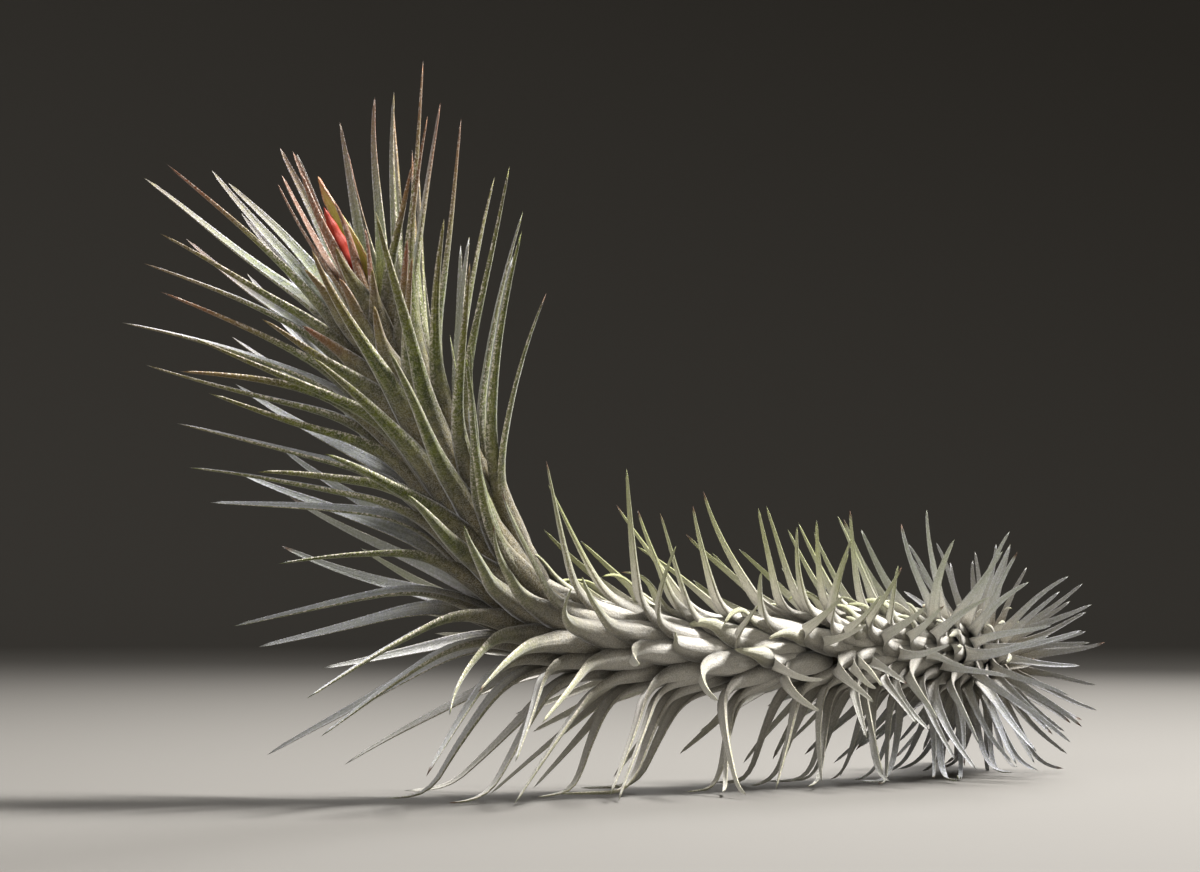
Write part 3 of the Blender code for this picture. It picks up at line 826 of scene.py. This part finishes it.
# ---- pieces ------------------------------------------------------------------------------------------------
def build_stem_leaves(stem):
    """The leaves along the stem: the spiral that the solids have too, and the slimmer ones between them."""
    skin = leaf_finish()
    leaves = grow_leaves(stem, random.Random(SEED), FIRST_TURN, OLDEST_LEAF_MM, stem.length - BARE_TIP_MM)
    carry_plant(leaves)
    rng = random.Random(SEED + 1)
    for degrees, start, until in CROWDS:
        crowd = grow_leaves(stem, rng, FIRST_TURN + math.radians(degrees), start, until * stem.length)
        for leaf in crowd:
            habit = leaf[3]
            habit["sheath_width"] *= CROWD_WIDTH
            habit["blade_width"] *= CROWD_WIDTH
            if habit["share"] < CROWD_ALL_ROUND or habit["seat"][2].z > 0 or rng.random() < CROWD_BELOW:
                leaves.append(leaf)
    for name, low, high in (
        ("old_leaves", 0.0, BEND_FROM),
        ("bend_leaves", BEND_FROM, HEAD_FROM),
        ("head_leaves", HEAD_FROM, 1.0),
    ):
        chosen = [leaf for leaf in leaves if low <= leaf[3]["share"] < high]
        finished(name, leaves_mesh(chosen, rng), skin, "leafy_stem")


def build_stem_core(stem):
    """The stem inside the sheaths, as one tube of changing radius along its route."""
    bm = bmesh.new()
    add_tube(bm, CORE_SIDES, CORE_RINGS, pointed=False)
    for vert in bm.verts:
        share = vert.co.z / (CORE_RINGS - 1)
        _, across, up = stem.frame(share * stem.length)
        offset = (vert.co.x * up + vert.co.y * across) * along(CORE_RADIUS_MM, share)
        vert.co = (stem.point(share * stem.length) + offset) * MM
    finished("stem_core", bm, core_finish(), "leafy_stem")


def build_heart_leaves(tip, aim, axes):
    """The newest leaves, on a short collar."""
    start = tip + aim * SEAT_GAP_MM
    skin = heart_finish()
    radii = ((0, COLLAR_RADIUS_MM), (1, COLLAR_RADIUS_MM))
    sizes = (COLLAR_HEIGHT_MM, radii, COLLAR_SIDES, COLLAR_RINGS)
    collar = rod_mesh(start, aim, axes, *sizes, False, lambda turn, share: 0.0)
    finished("heart_collar", collar, skin, "heart_leaves")
    leaves = []
    for degrees, length, clasp, spread in HEART_LEAVES:
        out = turned(axes, degrees)
        habit = plain_habit(length, HEART_WIDTH_MM, HEART_THICK_MM, clasp, spread)
        root = start + aim * HEART_ROOT_HEIGHT_MM + out * HEART_ROOT_MM
        leaves.append((*leaf_midline(root, aim, out, habit), habit))
    mesh = leaves_mesh(leaves, random.Random(SEED + 2))
    finished("heart_leaves_fine", mesh, skin, "heart_leaves")


def wrap_edges(turn, share):
    """The free edges of the wraps that a bud is rolled from, winding slowly round it."""
    through = (turn / math.tau * BUD_WRAPS + WRAP_WINDING * share) % 1.0
    return -WRAP_EDGE_MM * through * math.sin(math.pi * min(1.0, WRAP_END * share))


def build_flower_bud(base, aim, axes):
    bud = rod_mesh(base, aim, axes, BUD_LENGTH_MM, BUD_RADIUS_MM, BUD_SIDES, BUD_RINGS, True, wrap_edges)
    finished("bud_wraps", bud, bud_finish(), "flower_bud")


def build_floral_bract(base, aim, axes):
    """A boat-shaped bract that stands beside the bud with its hollow side to it."""
    out = turned(axes, BRACT_TURN_DEG)
    side = out.cross(aim)
    bm, marks = new_mesh(ROD_MARKS)
    add_tube(bm, BRACT_SIDES, BRACT_RINGS, pointed=True)
    for vert in bm.verts:
        share = vert.co.z / (BRACT_RINGS - 1)
        x, y = vert.co.x, vert.co.y
        width = along(BRACT_WIDTH_MM, share)
        off_axis = along(BRACT_OFF_AXIS_MM, share) - BRACT_CURL * width * x * x + y * BRACT_THICK_MM / 2
        vert[marks["along"]] = share
        vert[marks["across"]] = x
        vert.co = (base + aim * (share * BRACT_LENGTH_MM) + side * (x * width / 2) + out * off_axis) * MM
    finished("bract_boat", bm, bract_finish(), "floral_bract")


def build_dry_end(stem):
    """The brown stub of the old stem and the withered leaves on it."""
    grow, *axes = stem.frame(0.0)
    start = stem.point(0.0) - grow * (SEAT_GAP_MM + STUB_LENGTH_MM)
    radii = ((0, STUB_END_SHARE * STUB_RADIUS_MM), (0.5, STUB_RADIUS_MM), (1, STUB_RADIUS_MM))
    skin = dry_finish()

    def fluted(turn, share):
        waves = (depth * math.sin(count * turn + wind * share) for depth, count, wind in FLUTES_MM)
        return sum(waves) - STUB_SHRINK_MM

    stub = rod_mesh(start, grow, axes, STUB_LENGTH_MM, radii, STUB_SIDES, STUB_RINGS, False, fluted)
    finished("dry_stub", stub, skin, "dry_stem_end")
    leaves = []
    for number in range(WITHERED_LEAVES):
        out = turned(axes, math.degrees(number * GOLDEN_ANGLE))
        # The two sines make each leaf a little different.
        length = WITHERED_LENGTH_MM + math.sin(5.1 * number)
        spread = WITHERED_SPREAD_DEG + WITHERED_SPREAD_VARIES_DEG * math.sin(2.3 * number)
        habit = plain_habit(length, WITHERED_WIDTH_MM, WITHERED_THICK_MM, WITHERED_CLASP_DEG, spread)
        habit["old"] = 1.0
        habit["share"] = 0.0
        root = start + grow * (WITHERED_FIRST_MM + WITHERED_STEP_MM * number) + out * (0.5 * STUB_RADIUS_MM)
        leaves.append((*leaf_midline(root, grow, out, habit), habit))
    mesh = leaves_mesh(leaves, random.Random(SEED + 3))
    finished("withered_leaves", mesh, skin, "dry_stem_end")


# ---- the studio --------------------------------------------------------------------------------------------
# Sizes and places are in metres.
STAGE_RADIUS = 2.2
STAGE_BEND = 0.7
STAGE_WALL = 1.2
STAGE_SIDES = 96
STAGE_BEND_STEPS = 12
CAMERA_PLACE = Vector((-0.3545, -0.3246, 0.030))
CAMERA_AIM = Vector((0.7193, 0.6947, 0.0))
CAMERA_PITCH = math.radians(3.13)
LENS_MM = 90
SENSOR_MM = 36
NEAREST_SEEN = 0.01
LIGHT_COLOUR = (1.0, 0.98, 0.96)
AIR_COLOUR = (1.0, 0.92, 0.80)
AIR_STRENGTH = 0.22
# (name, the side it shines from, how far off it is, how wide it is, watts)
SOFTBOXES = (
    ("key_softbox", Vector((0.32, -0.36, 1.0)), 0.60, 0.14, 14.0),
    ("rim_softbox", Vector((0.75, 0.35, 0.50)), 0.70, 0.20, 3.5),
    ("fill_softbox", Vector((-0.99, -0.12, 0.5)), 0.90, 0.60, 3.4),
)


def stage_profile():
    """(radius, height) of each ring past the flat floor: a quarter bend, then an upright wall."""
    for step in range(1, STAGE_BEND_STEPS + 1):
        angle = math.pi / 2 * step / STAGE_BEND_STEPS
        yield STAGE_RADIUS - STAGE_BEND + STAGE_BEND * math.sin(angle), STAGE_BEND * (1 - math.cos(angle))
    yield STAGE_RADIUS, STAGE_BEND + STAGE_WALL


def build_stage():
    """A round pale floor whose rim curves up into a wall, well behind every camera."""
    material, _, shader = new_finish("studio paper", sheen=0.0)
    shader.inputs["Base Color"].default_value = tone(104, 102, 98)
    shader.inputs["Roughness"].default_value = 0.9
    bm = bmesh.new()
    bmesh.ops.create_circle(bm, cap_ends=True, segments=STAGE_SIDES, radius=STAGE_RADIUS - STAGE_BEND)
    rim = list(bm.edges)
    for radius, height in stage_profile():
        made = bmesh.ops.extrude_edge_only(bm, edges=rim)["geom"]
        for vert in only(made, bmesh.types.BMVert):
            flat = vert.co.xy.normalized() * radius
            vert.co = (flat.x, flat.y, height)
        rim = only(made, bmesh.types.BMEdge)
    bmesh.ops.recalc_face_normals(bm, faces=bm.faces)
    floor = new_object("studio_floor", bm, material)


def add_softbox(name, side, distance, width, watts, target):
    lamp = bpy.data.lights.new(name, "AREA")
    lamp.shape = "DISK"
    lamp.size = width
    lamp.energy = watts
    lamp.color = LIGHT_COLOUR
    made = bpy.data.objects.new(name, lamp)
    made.location = target + side.normalized() * distance
    made.rotation_euler = (-side).to_track_quat("-Z", "Y").to_euler()
    bpy.context.scene.collection.objects.link(made)


def light_studio():
    """A hard light from above on the right, softer ones from behind and in front, and faint warm air."""
    target = (CAD_BOX[0] + CAD_BOX[1]) / 2
    for softbox in SOFTBOXES:
        add_softbox(*softbox, target)
    world = bpy.data.worlds.new("studio_air")
    world.use_nodes = True
    world.node_tree.nodes["Background"].inputs["Color"].default_value = (*AIR_COLOUR, 1)
    world.node_tree.nodes["Background"].inputs["Strength"].default_value = AIR_STRENGTH
    bpy.context.scene.world = world
    bpy.context.scene.view_settings.view_transform = "Standard"


def place_camera():
    camera = bpy.data.cameras.new("camera")
    camera.lens = LENS_MM
    camera.sensor_width = SENSOR_MM
    camera.clip_start = NEAREST_SEEN
    made = bpy.data.objects.new("camera", camera)
    aim = CAMERA_AIM.normalized() * math.cos(CAMERA_PITCH) + Vector((0, 0, math.sin(CAMERA_PITCH)))
    made.location = CAMERA_PLACE
    made.rotation_euler = aim.to_track_quat("-Z", "Y").to_euler()
    bpy.context.scene.collection.objects.link(made)
    bpy.context.scene.camera = made


def main():
    stem = Stem(STEM_ROUTE)
    build_stem_leaves(stem)
    build_stem_core(stem)
    aim, *axes = stem.frame(stem.length)
    tip = stem.point(stem.length)
    base = tip + aim * (2 * SEAT_GAP_MM + COLLAR_HEIGHT_MM)
    build_heart_leaves(tip, aim, axes)
    build_flower_bud(base, aim, axes)
    build_floral_bract(base, aim, axes)
    build_dry_end(stem)
    build_stage()
    light_studio()
    place_camera()


main()
